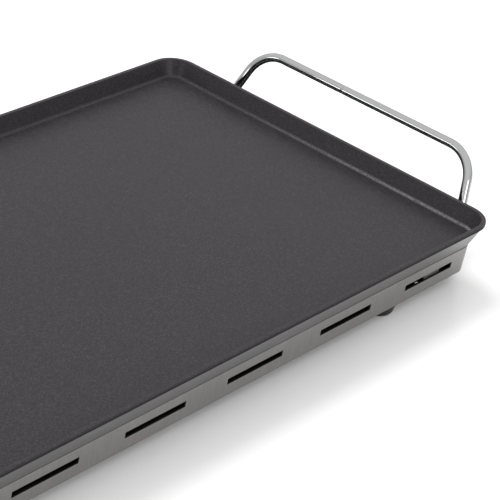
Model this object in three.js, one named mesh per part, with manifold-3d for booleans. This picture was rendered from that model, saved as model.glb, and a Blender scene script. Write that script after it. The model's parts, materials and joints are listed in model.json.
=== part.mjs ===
// Electric table-top griddle: a cast cooking plate on a slotted sheet housing, with two bent-rod
// handles, four screwed feet and a plug-in thermostat control at the left end.
// Millimetres, +Z up. Origin on the resting plane, under the middle of the plate; the long side
// runs along X, the front faces -Y, and the control plugs in from -X.

import * as THREE from 'three';
import { mergeVertices } from 'three/addons/utils/BufferGeometryUtils.js';
import Module from 'manifold-3d';

const wasm = await Module();
wasm.setup();

// ---------------------------------------------------------------- driving dimensions
const GAP = 0.3; // clearance between touching pieces

const PLATE = {
  length: 460,
  width: 260,
  radius: 16.5, // rim corner
  top: 41.6, // rim top above the table
  rimThickness: 1.4,
  rimWidth: 2.6,
  floorDepth: 10.6,
  floorInset: 8.4,
  floorThickness: 3,
  skirtBottom: 25.3, // where the outer wall meets the housing
  skirtInset: 8.1,
  skirtWall: 3,
  tongueInset: 9.2, // the lip that drops inside the housing
  tongueDepth: 0.9,
};
const FLOOR_Z = PLATE.top - PLATE.floorDepth;
const UNDERSIDE_Z = FLOOR_Z - PLATE.floorThickness;

const FRAME = {
  length: 445,
  width: 245,
  radius: 9,
  bottom: 7.2,
  top: 25,
  draft: 1.4, // how far the wall leans in from top to bottom
  sheet: 1.2,
  flange: 6,
};
const COVER = { bottom: FRAME.bottom, sheet: 1 };
const COVER_TOP = COVER.bottom + COVER.sheet;
const FLANGE_BOTTOM = COVER_TOP + GAP;
const FLANGE_TOP = FLANGE_BOTTOM + FRAME.sheet;

const VENT = {
  count: 6, // on each long side
  pitch: 72.5,
  middle: 1,
  length: 42,
  height: 3.7,
  z: 17.1,
  rightY: 36.25, // a pair on each end wall
  leftY: 56,
};

const FOOT = { x: 155.2, y: 108.8, radius: 10, topRadius: 11.6, bore: 4.5, recess: 5.1 };
const COVER_SCREW = { x: 178.8, y: 116.8, bore: 1.7 };

const HANDLE = {
  rod: 2.8, // radius
  barX: 263.7,
  barZ: 52.9,
  cornerY: 84.1,
  endZ: 18,
  lean: 0.515, // inward run of a leg for each mm it drops
  splay: 0.303, // sideways run of a leg for each mm it drops
  topBend: 22,
  lowBend: 9,
  endX: 212,
};
const HANDLE_DROP = HANDLE.barZ - HANDLE.endZ;
const HANDLE_END_Y = HANDLE.cornerY + HANDLE.splay * HANDLE_DROP;

const ELEMENT = { radius: 3.5, outerY: 90, innerY: 32, leftX: -184, innerX: -108, rightX: 186, bend: 13 };
const ELEMENT_Z = UNDERSIDE_Z - GAP - ELEMENT.radius;

const SOCKET = { z: 18, halfWidth: 25, halfHeight: 4.95, wall: 1.2, backX: -200, pinY: 15 };
const PIN = { radius: 2, tipX: -215, endX: -194.3 };
const BEAD = { radius: 4, length: 5 };
const PROBE = { radius: 3, tipX: -142, endX: -240, bossHalf: 6.2, bossFrom: -199, bossTo: -136 };

const CONTROL = {
  nearX: -231,
  farX: -252,
  halfWidth: 32,
  bottom: 5.5,
  top: 35.5,
  wall: 1.8,
  radius: 4,
  noseTipX: -206,
  lampX: -245,
  lampY: 21,
  lampRadius: 3,
  screwX: -247.6,
  screwY: 27,
  screwRecess: 2.4,
  glandX: -239.6,
};
const DIAL = { z: 20.5, skirt: 16, grip: 12, skirtDepth: 3, gripDepth: 12.4, shaft: 3, flutes: 18 };

// ---------------------------------------------------------------- finishes
const finish = (color, roughness, metalness) =>
  new THREE.MeshStandardMaterial({ color, roughness, metalness });
const MATERIAL = {
  coating: finish(0x39383b, 0.5, 0.3),
  housing: finish(0x8d8986, 0.4, 0.8),
  galvanised: finish(0xa4a5a6, 0.45, 0.9),
  painted: finish(0x1a1a1b, 0.5, 0),
  chrome: finish(0xdfe1e3, 0.06, 1),
  rubber: finish(0x161617, 0.7, 0),
  screw: finish(0x9a9b9d, 0.35, 1),
  sheath: finish(0x4b4743, 0.55, 0.8),
  ceramic: finish(0xe8e2d6, 0.6, 0),
  phenolic: finish(0x1d1b1a, 0.5, 0),
  plastic: finish(0x1b1b1c, 0.45, 0),
  brass: finish(0xb08d46, 0.3, 1),
  lens: finish(0xc23a20, 0.15, 0),
};

// ---------------------------------------------------------------- shape helpers
const object = new THREE.Group();

function place(parent, name, geometry, material) {
  const mesh = new THREE.Mesh(geometry, material);
  mesh.name = name;
  parent.add(mesh);
  return mesh;
}

// A closed three.js geometry as a solid that can be joined and cut.
function toSolid(geometry) {
  const bare = new THREE.BufferGeometry();
  bare.setAttribute('position', geometry.attributes.position.clone());
  if (geometry.index) bare.setIndex(geometry.index.clone());
  const merged = mergeVertices(bare, 1e-4);
  const corners = merged.index.array;
  const kept = [];
  for (let i = 0; i < corners.length; i += 3) {
    const [a, b, c] = corners.slice(i, i + 3);
    if (a !== b && b !== c && c !== a) kept.push(a, b, c);
  }
  return new wasm.Manifold(
    new wasm.Mesh({
      numProp: 3,
      vertProperties: new Float32Array(merged.attributes.position.array),
      triVerts: new Uint32Array(kept),
    }),
  );
}

function toGeometry(solid) {
  const mesh = solid.getMesh();
  const geometry = new THREE.BufferGeometry();
  geometry.setAttribute('position', new THREE.BufferAttribute(mesh.vertProperties, 3));
  geometry.setIndex(new THREE.BufferAttribute(mesh.triVerts, 1));
  geometry.computeVertexNormals();
  return geometry;
}

const cut = (body, ...tools) => tools.reduce((rest, tool) => rest.subtract(tool), body);
const join = (body, ...more) => more.reduce((whole, part) => whole.add(part), body);

// An axis-aligned block between two corners.
function block([x0, y0, z0], [x1, y1, z1]) {
  const geometry = new THREE.BoxGeometry(x1 - x0, y1 - y0, z1 - z0);
  geometry.translate((x0 + x1) / 2, (y0 + y1) / 2, (z0 + z1) / 2);
  return toSolid(geometry);
}

// A cylinder along one axis, from one end's centre.
function cylinder(axis, radius, [x, y, z], length, sides = 20) {
  const geometry = new THREE.CylinderGeometry(radius, radius, length, sides);
  geometry.translate(0, length / 2, 0);
  if (axis === 'x') geometry.rotateZ(-Math.PI / 2);
  if (axis === 'z') geometry.rotateX(Math.PI / 2);
  geometry.translate(x, y, z);
  return toSolid(geometry);
}

// A turned piece about +Z from [radius, height] pairs that run up its outside.
function turned(profile, sides = 20) {
  const points = profile.map(([radius, height]) => new THREE.Vector2(radius, height));
  const geometry = new THREE.LatheGeometry(points, sides);
  geometry.rotateX(Math.PI / 2);
  return geometry;
}

// A pan-head screw that hangs below its seat, with a plain shank up to its tip.
const panScrew = (seat, headRadius, headDepth, shankRadius, tip, sides = 10) => turned([
  [0, seat - headDepth],
  [headRadius - 0.4, seat - headDepth],
  [headRadius, seat],
  [shankRadius, seat],
  [shankRadius, tip],
  [0, tip],
], sides);

function roundedOutline(length, width, radius) {
  const [x, y] = [length / 2 - radius, width / 2 - radius];
  const shape = new THREE.Shape();
  shape.absarc(x, y, radius, 0, Math.PI / 2);
  shape.absarc(-x, y, radius, Math.PI / 2, Math.PI);
  shape.absarc(-x, -y, radius, Math.PI, 1.5 * Math.PI);
  shape.absarc(x, -y, radius, 1.5 * Math.PI, 2 * Math.PI);
  shape.closePath();
  return shape;
}

// A rounded rectangle raised through layers of [inset, height]: each corner keeps its centre, and
// its radius shrinks by the inset.
function moulded(length, width, radius, layers, cornerSteps = 4) {
  const steps = layers.length - 1;
  const outline = roundedOutline(length, width, radius);
  const geometry = new THREE.ExtrudeGeometry(outline, {
    depth: steps,
    steps,
    bevelEnabled: false,
    curveSegments: cornerSteps,
  });
  const position = geometry.attributes.position;
  for (let i = 0; i < position.count; i += 1) {
    const [inset, height] = layers[Math.round(position.getZ(i))];
    const centreX = Math.sign(position.getX(i)) * (length / 2 - radius);
    const centreY = Math.sign(position.getY(i)) * (width / 2 - radius);
    const shrink = (radius - inset) / radius;
    position.setXYZ(
      i,
      centreX + (position.getX(i) - centreX) * shrink,
      centreY + (position.getY(i) - centreY) * shrink,
      height,
    );
  }
  return toSolid(geometry);
}

const slab = (length, width, radius, bottom, top, cornerSteps = 3) =>
  moulded(length, width, radius, [[0, bottom], [0, top]], cornerSteps);

// A centre line of straight runs joined by arcs, sampled only where it turns.
class BentLine extends THREE.Curve {
  constructor(corners, radii, stepsPerBend) {
    super();
    this.knots = [corners[0]];
    for (let i = 1; i < corners.length - 1; i += 1) {
      this.bend(corners[i - 1], corners[i], corners[i + 1], radii[i - 1], stepsPerBend);
    }
    this.knots.push(corners[corners.length - 1]);
  }

  bend(before, corner, after, radius, count) {
    const back = before.clone().sub(corner).normalize();
    const ahead = after.clone().sub(corner).normalize();
    const half = back.angleTo(ahead) / 2;
    const middle = back.clone().add(ahead).normalize();
    const centre = corner.clone().addScaledVector(middle, radius / Math.sin(half));
    const start = corner.clone().addScaledVector(back, radius / Math.tan(half)).sub(centre);
    const axis = ahead.clone().cross(back).normalize();
    const sweep = Math.PI - 2 * half;
    for (let i = 0; i <= count; i += 1) {
      this.knots.push(start.clone().applyAxisAngle(axis, (sweep * i) / count).add(centre));
    }
  }

  get steps() {
    return this.knots.length - 1;
  }

  getPointAt(t, target = new THREE.Vector3()) {
    return target.copy(this.knots[Math.round(t * this.steps)]);
  }

  getTangentAt(t, target = new THREE.Vector3()) {
    const i = Math.round(t * this.steps);
    const along = (a, b) => this.knots[b].clone().sub(this.knots[a]).normalize();
    target.set(0, 0, 0);
    if (i > 0) target.add(along(i - 1, i));
    if (i < this.steps) target.add(along(i, i + 1));
    return target.normalize();
  }
}

function rod(line, radius, sides) {
  const section = new THREE.Shape();
  section.absarc(0, 0, radius, 0, 2 * Math.PI);
  return new THREE.ExtrudeGeometry(section, {
    steps: line.steps,
    extrudePath: line,
    curveSegments: sides / 2,
    bevelEnabled: false,
  });
}

const CORNERS = [
  ['right_rear', 1, 1],
  ['left_rear', -1, 1],
  ['left_front', -1, -1],
  ['right_front', 1, -1],
];

// ---------------------------------------------------------------- cooking plate
const CLAMP = { x: [-60, 110], y: (ELEMENT.outerY + ELEMENT.innerY) / 2, sheet: 1.2, halfWidth: 6, bore: 2 };
const CLAMP_TOP = ELEMENT_Z - ELEMENT.radius - GAP;
const CLAMPS = CLAMP.x.flatMap((x, i) => [
  { label: 2 * i + 1, x, y: -CLAMP.y },
  { label: 2 * i + 2, x, y: CLAMP.y },
]);
const POST = { top: 22, radius: 4.5, bore: 2.2 };
const BOSS_TOP = FLOOR_Z - 1; // bosses run up into the floor they hang from

// A hanging boss, from its lower face up into the plate's floor.
const boss = (radius, x, y, bottom, sides) => cylinder('z', radius, [x, y, bottom], BOSS_TOP - bottom, sides);

function griddlePlate() {
  const { length, width, radius, top, rimThickness, rimWidth, floorInset } = PLATE;
  const { skirtBottom, skirtInset, skirtWall, tongueInset, tongueDepth } = PLATE;
  const outside = moulded(length, width, radius, [
    [tongueInset, skirtBottom - tongueDepth],
    [tongueInset, skirtBottom],
    [skirtInset, skirtBottom],
    [0.8, top - rimThickness - 0.3],
    [0.2, top - rimThickness],
    [0, top - rimThickness + 0.4],
    [0, top - 0.5],
    [0.5, top],
  ]);
  const tray = moulded(length, width, radius, [
    [floorInset + 0.6, FLOOR_Z],
    [floorInset - 1, FLOOR_Z + 0.4],
    [floorInset - 2, FLOOR_Z + 1.6],
    [rimWidth + 0.4, top - 0.5],
    [rimWidth, top + 0.1],
  ]);
  const hollowInset = tongueInset + skirtWall;
  const underside = moulded(length, width, radius, [
    [hollowInset, skirtBottom - 2],
    [hollowInset, UNDERSIDE_Z],
  ]);
  const { radius: probeRadius, tipX, bossHalf, bossFrom, bossTo } = PROBE;
  const probeBoss = block([bossFrom, -bossHalf, SOCKET.z - bossHalf + 1], [bossTo, bossHalf, BOSS_TOP]);
  const probeBore = cylinder('x', probeRadius + GAP, [bossFrom - 1, 0, SOCKET.z], tipX + 2 - bossFrom, 16);
  const clampBosses = CLAMPS.map(({ x, y }) => boss(4, x, y, CLAMP_TOP + GAP, 14));
  const clampBores = CLAMPS.map(({ x, y }) =>
    cylinder('z', 1.9, [x, y, CLAMP_TOP], UNDERSIDE_Z - CLAMP_TOP, 10));
  const footBosses = CORNERS.map(([, sx, sy]) => boss(5, sx * FOOT.x, sy * FOOT.y, POST.top, 16));
  const footBores = CORNERS.map(([, sx, sy]) =>
    cylinder('z', 2, [sx * FOOT.x, sy * FOOT.y, POST.top - 1], 6, 10));
  const shell = cut(outside, tray, underside);
  return cut(join(shell, probeBoss, ...clampBosses, ...footBosses), probeBore, ...clampBores, ...footBores);
}

const plateGroup = new THREE.Group();
object.add(plateGroup);
place(plateGroup, 'griddle_plate', toGeometry(griddlePlate()), MATERIAL.coating);

// ---------------------------------------------------------------- heating element and its terminals
function elementLine() {
  const { outerY, innerY, leftX, innerX, rightX, bend } = ELEMENT;
  const half = (side) => [
    [-194, side * SOCKET.pinY, SOCKET.z],
    [leftX, side * SOCKET.pinY, SOCKET.z],
    [leftX + 10, side * SOCKET.pinY * 1.7, ELEMENT_Z],
    [leftX, side * outerY, ELEMENT_Z],
    [rightX, side * outerY, ELEMENT_Z],
    [rightX, side * innerY, ELEMENT_Z],
    [innerX, side * innerY, ELEMENT_Z],
  ];
  const corners = [...half(-1), ...half(1).reverse()].map((point) => new THREE.Vector3(...point));
  const halfRadii = [5, 7, bend, bend, bend, bend];
  return new BentLine(corners, [...halfRadii, ...[...halfRadii].reverse()], 4);
}

const heatGroup = new THREE.Group();
object.add(heatGroup);
place(heatGroup, 'heating_element', rod(elementLine(), ELEMENT.radius, 8), MATERIAL.sheath);

for (const [side, name] of [[-1, 'front'], [1, 'rear']]) {
  const y = side * SOCKET.pinY;
  const pin = turned([
    [0, 0],
    [PIN.radius - 0.8, 0],
    [PIN.radius, 1],
    [PIN.radius, PIN.endX - PIN.tipX],
    [0, PIN.endX - PIN.tipX],
  ], 14);
  pin.rotateY(Math.PI / 2);
  pin.translate(PIN.tipX, y, SOCKET.z);
  place(heatGroup, `terminal_pin_${name}`, pin, MATERIAL.screw);

  const bead = cut(
    cylinder('x', BEAD.radius, [SOCKET.backX + GAP, y, SOCKET.z], BEAD.length, 14),
    cylinder('x', PIN.radius + GAP, [SOCKET.backX - 1, y, SOCKET.z], BEAD.length + 3, 14),
  );
  place(heatGroup, `terminal_bead_${name}`, toGeometry(bead), MATERIAL.ceramic);
}

// Strips under the element, one to a pair of runs, each held by one screw in a plate boss.
const CLAMP_REACH = (ELEMENT.outerY - ELEMENT.innerY) / 2 + 6;
for (const { label, x, y } of CLAMPS) {
  const low = [x - CLAMP.halfWidth, y - CLAMP_REACH, CLAMP_TOP - CLAMP.sheet];
  const strip = cut(
    block(low, [x + CLAMP.halfWidth, y + CLAMP_REACH, CLAMP_TOP]),
    cylinder('z', CLAMP.bore, [x, y, CLAMP_TOP - 3], 5, 12),
  );
  place(heatGroup, `element_clamp_${label}`, toGeometry(strip), MATERIAL.galvanised);
  const screw = panScrew(CLAMP_TOP - CLAMP.sheet - GAP, 3.3, 1.8, 1.5, UNDERSIDE_Z - 1);
  screw.translate(x, y, 0);
  place(heatGroup, `clamp_screw_${label}`, screw, MATERIAL.screw);
}

const REFLECTOR = { length: 380, width: 184, radius: 6, bottom: COVER_TOP + GAP, top: 12.4, sheet: 0.8 };
const reflector = cut(
  slab(REFLECTOR.length, REFLECTOR.width, REFLECTOR.radius, REFLECTOR.bottom, REFLECTOR.top),
  slab(
    REFLECTOR.length - 2 * REFLECTOR.sheet,
    REFLECTOR.width - 2 * REFLECTOR.sheet,
    REFLECTOR.radius - REFLECTOR.sheet,
    REFLECTOR.bottom - 1,
    REFLECTOR.top - REFLECTOR.sheet,
  ),
);
place(heatGroup, 'heat_reflector', toGeometry(reflector), MATERIAL.galvanised);

// ---------------------------------------------------------------- housing
// The wall leans in by FRAME.draft from top to bottom, so its inset grows as it drops.
const wallInset = (height) => FRAME.draft * (FRAME.top - height) / (FRAME.top - FRAME.bottom);

// The space inside the wall between two heights, clear of its sheet by a margin.
function insideWall(low, high, margin) {
  const { length, width, radius } = FRAME;
  return moulded(length, width, radius, [
    [FRAME.sheet + margin + wallInset(low), low],
    [FRAME.sheet + margin + wallInset(high), high],
  ], 3);
}

function housingFrame() {
  const { length, width, radius, bottom, top, draft, sheet, flange } = FRAME;
  const outside = moulded(length, width, radius, [
    [draft + 0.9, bottom],
    [draft + 0.25, bottom + 0.3],
    [wallInset(bottom + 1), bottom + 1],
    [0, top],
  ]);
  const above = insideWall(FLANGE_TOP, top + 1, 0);
  const below = insideWall(bottom - 1, FLANGE_BOTTOM, 0);
  const edge = 2 * (draft + sheet + flange);
  const window = slab(length - edge, width - edge, 3, bottom, top);
  const half = VENT.height / 2;
  const vents = [];
  for (let i = 0; i < VENT.count; i += 1) {
    const x = VENT.middle + (i - (VENT.count - 1) / 2) * VENT.pitch;
    const low = [x - VENT.length / 2, -width, VENT.z - half];
    vents.push(block(low, [x + VENT.length / 2, width, VENT.z + half]));
  }
  for (const [x, y] of [[length / 2, VENT.rightY], [-length / 2, VENT.leftY]]) {
    for (const middle of [-y, y]) {
      const low = [x - 5, middle - VENT.length / 2, VENT.z - half];
      vents.push(block(low, [x + 5, middle + VENT.length / 2, VENT.z + half]));
    }
  }
  const socket = block(
    [-length / 2 - 5, -SOCKET.halfWidth, SOCKET.z - SOCKET.halfHeight],
    [-length / 2 + 5, SOCKET.halfWidth, SOCKET.z + SOCKET.halfHeight],
  );
  const rodHoles = CORNERS.map(([, sx, sy]) =>
    cylinder('x', HANDLE.rod + GAP, [sx * (length / 2) - 5, sy * HANDLE_END_Y, HANDLE.endZ], 10, 16));
  const screwHoles = CORNERS.map(([, sx, sy]) =>
    cylinder('z', COVER_SCREW.bore, [sx * COVER_SCREW.x, sy * COVER_SCREW.y, FLANGE_BOTTOM - 1], 4, 10));
  return cut(outside, above, below, window, ...vents, socket, ...rodHoles, ...screwHoles);
}

const COVER_VENT = { columns: [-2, -1, 0, 1, 2], pitch: 60, rowY: 60, halfLength: 20, halfWidth: 2.5 };

function bottomCover() {
  const [low, high] = [COVER.bottom - 1, COVER_TOP + 1];
  const sheet = insideWall(COVER.bottom, COVER_TOP, GAP);
  const footHoles = CORNERS.map(([, sx, sy]) =>
    cylinder('z', POST.bore, [sx * FOOT.x, sy * FOOT.y, low], high - low, 12));
  const screwHoles = CORNERS.map(([, sx, sy]) =>
    cylinder('z', COVER_SCREW.bore, [sx * COVER_SCREW.x, sy * COVER_SCREW.y, low], high - low, 10));
  const { columns, pitch, rowY, halfLength, halfWidth } = COVER_VENT;
  const vents = columns.flatMap((column) => [-rowY, rowY].map((y) => block(
    [pitch * column - halfLength, y - halfWidth, low],
    [pitch * column + halfLength, y + halfWidth, high],
  )));
  return cut(sheet, ...footHoles, ...screwHoles, ...vents);
}

const housingGroup = new THREE.Group();
object.add(housingGroup);
place(housingGroup, 'housing_frame', toGeometry(housingFrame()), MATERIAL.housing);
place(housingGroup, 'bottom_cover', toGeometry(bottomCover()), MATERIAL.painted);

function socketBlock() {
  const { z, halfWidth, halfHeight, wall, backX, pinY } = SOCKET;
  const frontX = -FRAME.length / 2 + FRAME.draft + FRAME.sheet + GAP;
  const body = block(
    [frontX, -halfWidth - 2, z - halfHeight - wall],
    [backX, halfWidth + 2, z + halfHeight + wall],
  );
  const cavity = block([frontX - 1, -halfWidth, z - halfHeight], [backX - 3, halfWidth, z + halfHeight]);
  const holes = [
    cylinder('x', PIN.radius + GAP, [frontX, -pinY, z], 30, 14),
    cylinder('x', PIN.radius + GAP, [frontX, pinY, z], 30, 14),
    cylinder('x', PROBE.radius + GAP, [frontX, 0, z], 30, 16),
  ];
  return cut(body, cavity, ...holes);
}
place(housingGroup, 'socket_block', toGeometry(socketBlock()), MATERIAL.phenolic);

// ---------------------------------------------------------------- feet, posts and bottom screws
const FOOT_TOP = COVER.bottom - GAP;
const footProfile = [
  [FOOT.bore, 0],
  [FOOT.radius - 2, 0],
  [FOOT.radius - 0.6, 0.6],
  [FOOT.radius, 2],
  [FOOT.topRadius, FOOT_TOP],
  [POST.bore, FOOT_TOP],
  [POST.bore, FOOT.recess],
  [FOOT.bore, FOOT.recess],
  [FOOT.bore, 0],
];
const postProfile = [
  [POST.bore, COVER_TOP + GAP],
  [POST.radius, COVER_TOP + GAP],
  [POST.radius, POST.top - GAP],
  [POST.bore, POST.top - GAP],
  [POST.bore, COVER_TOP + GAP],
];

for (const [corner, sx, sy] of CORNERS) {
  const station = new THREE.Group();
  station.position.set(sx * FOOT.x, sy * FOOT.y, 0);
  housingGroup.add(station);
  place(station, `foot_${corner}`, turned(footProfile, 24), MATERIAL.rubber);
  const footScrew = panScrew(FOOT.recess - GAP, 3.8, 2.2, 1.7, POST.top + 4.5, 12);
  place(station, `foot_screw_${corner}`, footScrew, MATERIAL.screw);
  place(station, `support_post_${corner}`, turned(postProfile, 14), MATERIAL.galvanised);

  const coverScrew = panScrew(COVER.bottom - GAP, 3, 1.6, 1.4, FLANGE_TOP + 2.6);
  const screw = place(housingGroup, `cover_screw_${corner}`, coverScrew, MATERIAL.screw);
  screw.position.set(sx * COVER_SCREW.x, sy * COVER_SCREW.y, 0);
}

// ---------------------------------------------------------------- handles
function handleLine(side) {
  const { barX, barZ, cornerY, endX, endZ, lean, topBend, lowBend } = HANDLE;
  const kneeX = barX - lean * HANDLE_DROP;
  const corners = [
    [endX, -HANDLE_END_Y, endZ],
    [kneeX, -HANDLE_END_Y, endZ],
    [barX, -cornerY, barZ],
    [barX, cornerY, barZ],
    [kneeX, HANDLE_END_Y, endZ],
    [endX, HANDLE_END_Y, endZ],
  ].map(([x, y, z]) => new THREE.Vector3(side * x, y, z));
  return new BentLine(corners, [lowBend, topBend, topBend, lowBend], 7);
}

const WALL_X = FRAME.length / 2;
const NUT = { radius: 4.9, length: 4 };
const NUT_OUT_X = WALL_X - wallInset(HANDLE.endZ - NUT.radius) - FRAME.sheet - GAP;
const COLLAR = { radius: 5.5, length: 2.4 };
for (const [name, side] of [['right', 1], ['left', -1]]) {
  const group = new THREE.Group();
  object.add(group);
  place(group, `handle_${name}`, rod(handleLine(side), HANDLE.rod, 12), MATERIAL.chrome);
  for (const [end, sy] of [['front', -1], ['rear', 1]]) {
    const at = (x, length) => [side > 0 ? x : -x - length, sy * HANDLE_END_Y, HANDLE.endZ];
    const bore = cylinder('x', HANDLE.rod + GAP, at(200, 40), 40, 16);
    const nut = cut(cylinder('x', NUT.radius, at(NUT_OUT_X - NUT.length, NUT.length), NUT.length, 6), bore);
    const ferrule = cylinder('x', COLLAR.radius, at(WALL_X + GAP, COLLAR.length), COLLAR.length, 20);
    const collar = cut(ferrule, bore);
    place(group, `handle_nut_${name}_${end}`, toGeometry(nut), MATERIAL.screw);
    place(group, `handle_collar_${name}_${end}`, toGeometry(collar), MATERIAL.chrome);
  }
}

// ---------------------------------------------------------------- plug-in thermostat control
const controlGroup = new THREE.Group();
object.add(controlGroup);
const CONTROL_X = (CONTROL.nearX + CONTROL.farX) / 2;
const CONTROL_LENGTH = CONTROL.nearX - CONTROL.farX;
const SPLIT_Z = DIAL.z;

function controlBox(inset, bottom, top) {
  const box = slab(
    CONTROL_LENGTH - 2 * inset,
    2 * (CONTROL.halfWidth - inset),
    CONTROL.radius - inset,
    bottom,
    top,
  );
  return box.translate([CONTROL_X, 0, 0]);
}

const NOSE = {
  halfWidth: SOCKET.halfWidth - 0.6,
  halfHeight: SOCKET.halfHeight - GAP,
  backX: CONTROL.nearX - CONTROL.wall - 2,
};

// What passes through the control's walls: the nose, the dial shaft and the cord gland.
function controlPassages() {
  return [
    block(
      [CONTROL.nearX - CONTROL.wall - 1, -NOSE.halfWidth - GAP, SOCKET.z - NOSE.halfHeight - GAP],
      [CONTROL.nearX + 1, NOSE.halfWidth + GAP, SOCKET.z + NOSE.halfHeight + GAP],
    ),
    cylinder('x', DIAL.shaft + GAP, [CONTROL.farX - 1, 0, DIAL.z], CONTROL.wall + 2, 16),
    cylinder('y', 4.3, [CONTROL.glandX, CONTROL.halfWidth - CONTROL.wall - 1, DIAL.z], CONTROL.wall + 2, 18),
  ];
}

function controlShell(isUpper) {
  const { bottom, top, wall, screwX, screwY, screwRecess, lampX, lampY, lampRadius } = CONTROL;
  const low = isUpper ? SPLIT_Z + GAP / 2 : bottom;
  const high = isUpper ? top : SPLIT_Z - GAP / 2;
  const hollow = isUpper ? [low - 1, top - wall] : [bottom + wall, high + 1];
  const postFrom = low + (isUpper ? 0 : 1);
  const posts = [-screwY, screwY].map((y) => cylinder('z', 3.4, [screwX, y, postFrom], high - low - 1, 14));
  const bores = [-screwY, screwY].flatMap((y) => [
    cylinder('z', 1.7, [screwX, y, bottom - 1], SPLIT_Z - bottom + 12, 10),
    cylinder('z', 3.1, [screwX, y, bottom - 1], screwRecess + 1, 14),
  ]);
  const tools = [...controlPassages(), ...bores];
  if (isUpper) tools.push(cylinder('z', lampRadius + GAP, [lampX, lampY, top - wall - 1], wall + 3, 16));
  const shell = cut(controlBox(0, low, high), controlBox(wall, ...hollow));
  return cut(join(shell, ...posts), ...tools);
}
place(controlGroup, 'control_lower_shell', toGeometry(controlShell(false)), MATERIAL.plastic);
place(controlGroup, 'control_upper_shell', toGeometry(controlShell(true)), MATERIAL.plastic);

const SLEEVE = { radius: 3.2, length: 16.5, fromX: CONTROL.noseTipX - 17 };
for (const [side, name] of [[-1, 'front'], [1, 'rear']]) {
  const screw = panScrew(CONTROL.bottom + CONTROL.screwRecess - GAP, 2.8, 1.6, 1.4, SPLIT_Z + 4.5);
  screw.translate(CONTROL.screwX, side * CONTROL.screwY, 0);
  place(controlGroup, `control_screw_${name}`, screw, MATERIAL.screw);

  const y = side * SOCKET.pinY;
  const sleeve = cut(
    cylinder('x', SLEEVE.radius, [SLEEVE.fromX, y, SOCKET.z], SLEEVE.length, 14),
    cylinder('x', PIN.radius + GAP, [SLEEVE.fromX - 1, y, SOCKET.z], SLEEVE.length + 3.5, 14),
  );
  place(controlGroup, `contact_sleeve_${name}`, toGeometry(sleeve), MATERIAL.brass);
}

const nose = cut(
  block(
    [NOSE.backX, -NOSE.halfWidth, SOCKET.z - NOSE.halfHeight],
    [CONTROL.noseTipX, NOSE.halfWidth, SOCKET.z + NOSE.halfHeight],
  ),
  cylinder('x', PROBE.radius + GAP, [NOSE.backX - 1, 0, SOCKET.z], 40, 16),
  ...[-SOCKET.pinY, SOCKET.pinY].map((y) =>
    cylinder('x', SLEEVE.radius + GAP, [SLEEVE.fromX - 0.5, y, SOCKET.z], 20, 14)),
);
place(controlGroup, 'connector_nose', toGeometry(nose), MATERIAL.phenolic);

const probe = turned([
  [0, 0],
  [PROBE.radius, 0],
  [PROBE.radius, PROBE.tipX - PROBE.endX - 2],
  [PROBE.radius - 0.8, PROBE.tipX - PROBE.endX - 0.5],
  [0, PROBE.tipX - PROBE.endX],
], 16);
probe.rotateY(Math.PI / 2);
probe.translate(PROBE.endX, 0, SOCKET.z);
place(controlGroup, 'probe', probe, MATERIAL.screw);

const SWITCH = { nearX: -240.4, farX: -246.5, halfWidth: 12, bottom: 11, top: 31 };
const thermostat = block(
  [SWITCH.farX, -SWITCH.halfWidth, SWITCH.bottom],
  [SWITCH.nearX, SWITCH.halfWidth, SWITCH.top],
);
place(controlGroup, 'thermostat_switch', toGeometry(thermostat), MATERIAL.ceramic);

const GLAND = { neck: 4, flange: 5.6, bore: 3, flangeLength: 4 };
const gland = cut(
  join(
    cylinder('y', GLAND.neck, [CONTROL.glandX, CONTROL.halfWidth - CONTROL.wall - 2, DIAL.z],
      CONTROL.wall + 2 + GAP, 18),
    cylinder('y', GLAND.flange, [CONTROL.glandX, CONTROL.halfWidth + GAP, DIAL.z], GLAND.flangeLength, 18),
  ),
  cylinder('y', GLAND.bore, [CONTROL.glandX, CONTROL.halfWidth - 8, DIAL.z], 16, 16),
);
place(controlGroup, 'cord_gland', toGeometry(gland), MATERIAL.rubber);

const lens = turned([
  [0, CONTROL.top - 4],
  [CONTROL.lampRadius, CONTROL.top - 4],
  [CONTROL.lampRadius, CONTROL.top + 0.4],
  [CONTROL.lampRadius - 1, CONTROL.top + 1.3],
  [0, CONTROL.top + 1.6],
], 16);
lens.translate(CONTROL.lampX, CONTROL.lampY, 0);
place(controlGroup, 'pilot_lens', lens, MATERIAL.lens);

// The dial turns about X: a skirt, a fluted grip and a raised pointer bar.
const dialGroup = new THREE.Group();
dialGroup.position.set(CONTROL.farX - 2 * GAP, 0, DIAL.z);
controlGroup.add(dialGroup);

function dialGeometry() {
  const outline = new THREE.Shape();
  const count = DIAL.flutes * 4;
  for (let i = 0; i < count; i += 1) {
    const angle = (2 * Math.PI * i) / count;
    const radius = DIAL.grip + 0.4 * Math.cos(DIAL.flutes * angle);
    outline.lineTo(radius * Math.cos(angle), radius * Math.sin(angle));
  }
  outline.closePath();
  const grip = new THREE.ExtrudeGeometry(outline, {
    depth: DIAL.gripDepth - DIAL.skirtDepth + 1,
    bevelEnabled: false,
  });
  grip.translate(0, 0, DIAL.skirtDepth - 1);
  const skirt = turned([
    [0, 0],
    [DIAL.skirt, 0],
    [DIAL.skirt, DIAL.skirtDepth - 1],
    [DIAL.skirt - 1, DIAL.skirtDepth],
    [0, DIAL.skirtDepth],
  ], 36);
  const pointer = block([-1, 2, DIAL.gripDepth - 0.5], [1, DIAL.grip - 1, DIAL.gripDepth + 0.6]);
  const bore = cylinder('z', DIAL.shaft + GAP, [0, 0, -1], 9, 16);
  const geometry = toGeometry(cut(join(toSolid(skirt), toSolid(grip), pointer), bore));
  geometry.rotateY(-Math.PI / 2);
  geometry.rotateX(Math.PI / 2);
  return geometry;
}
place(dialGroup, 'dial', dialGeometry(), MATERIAL.plastic);

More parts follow.
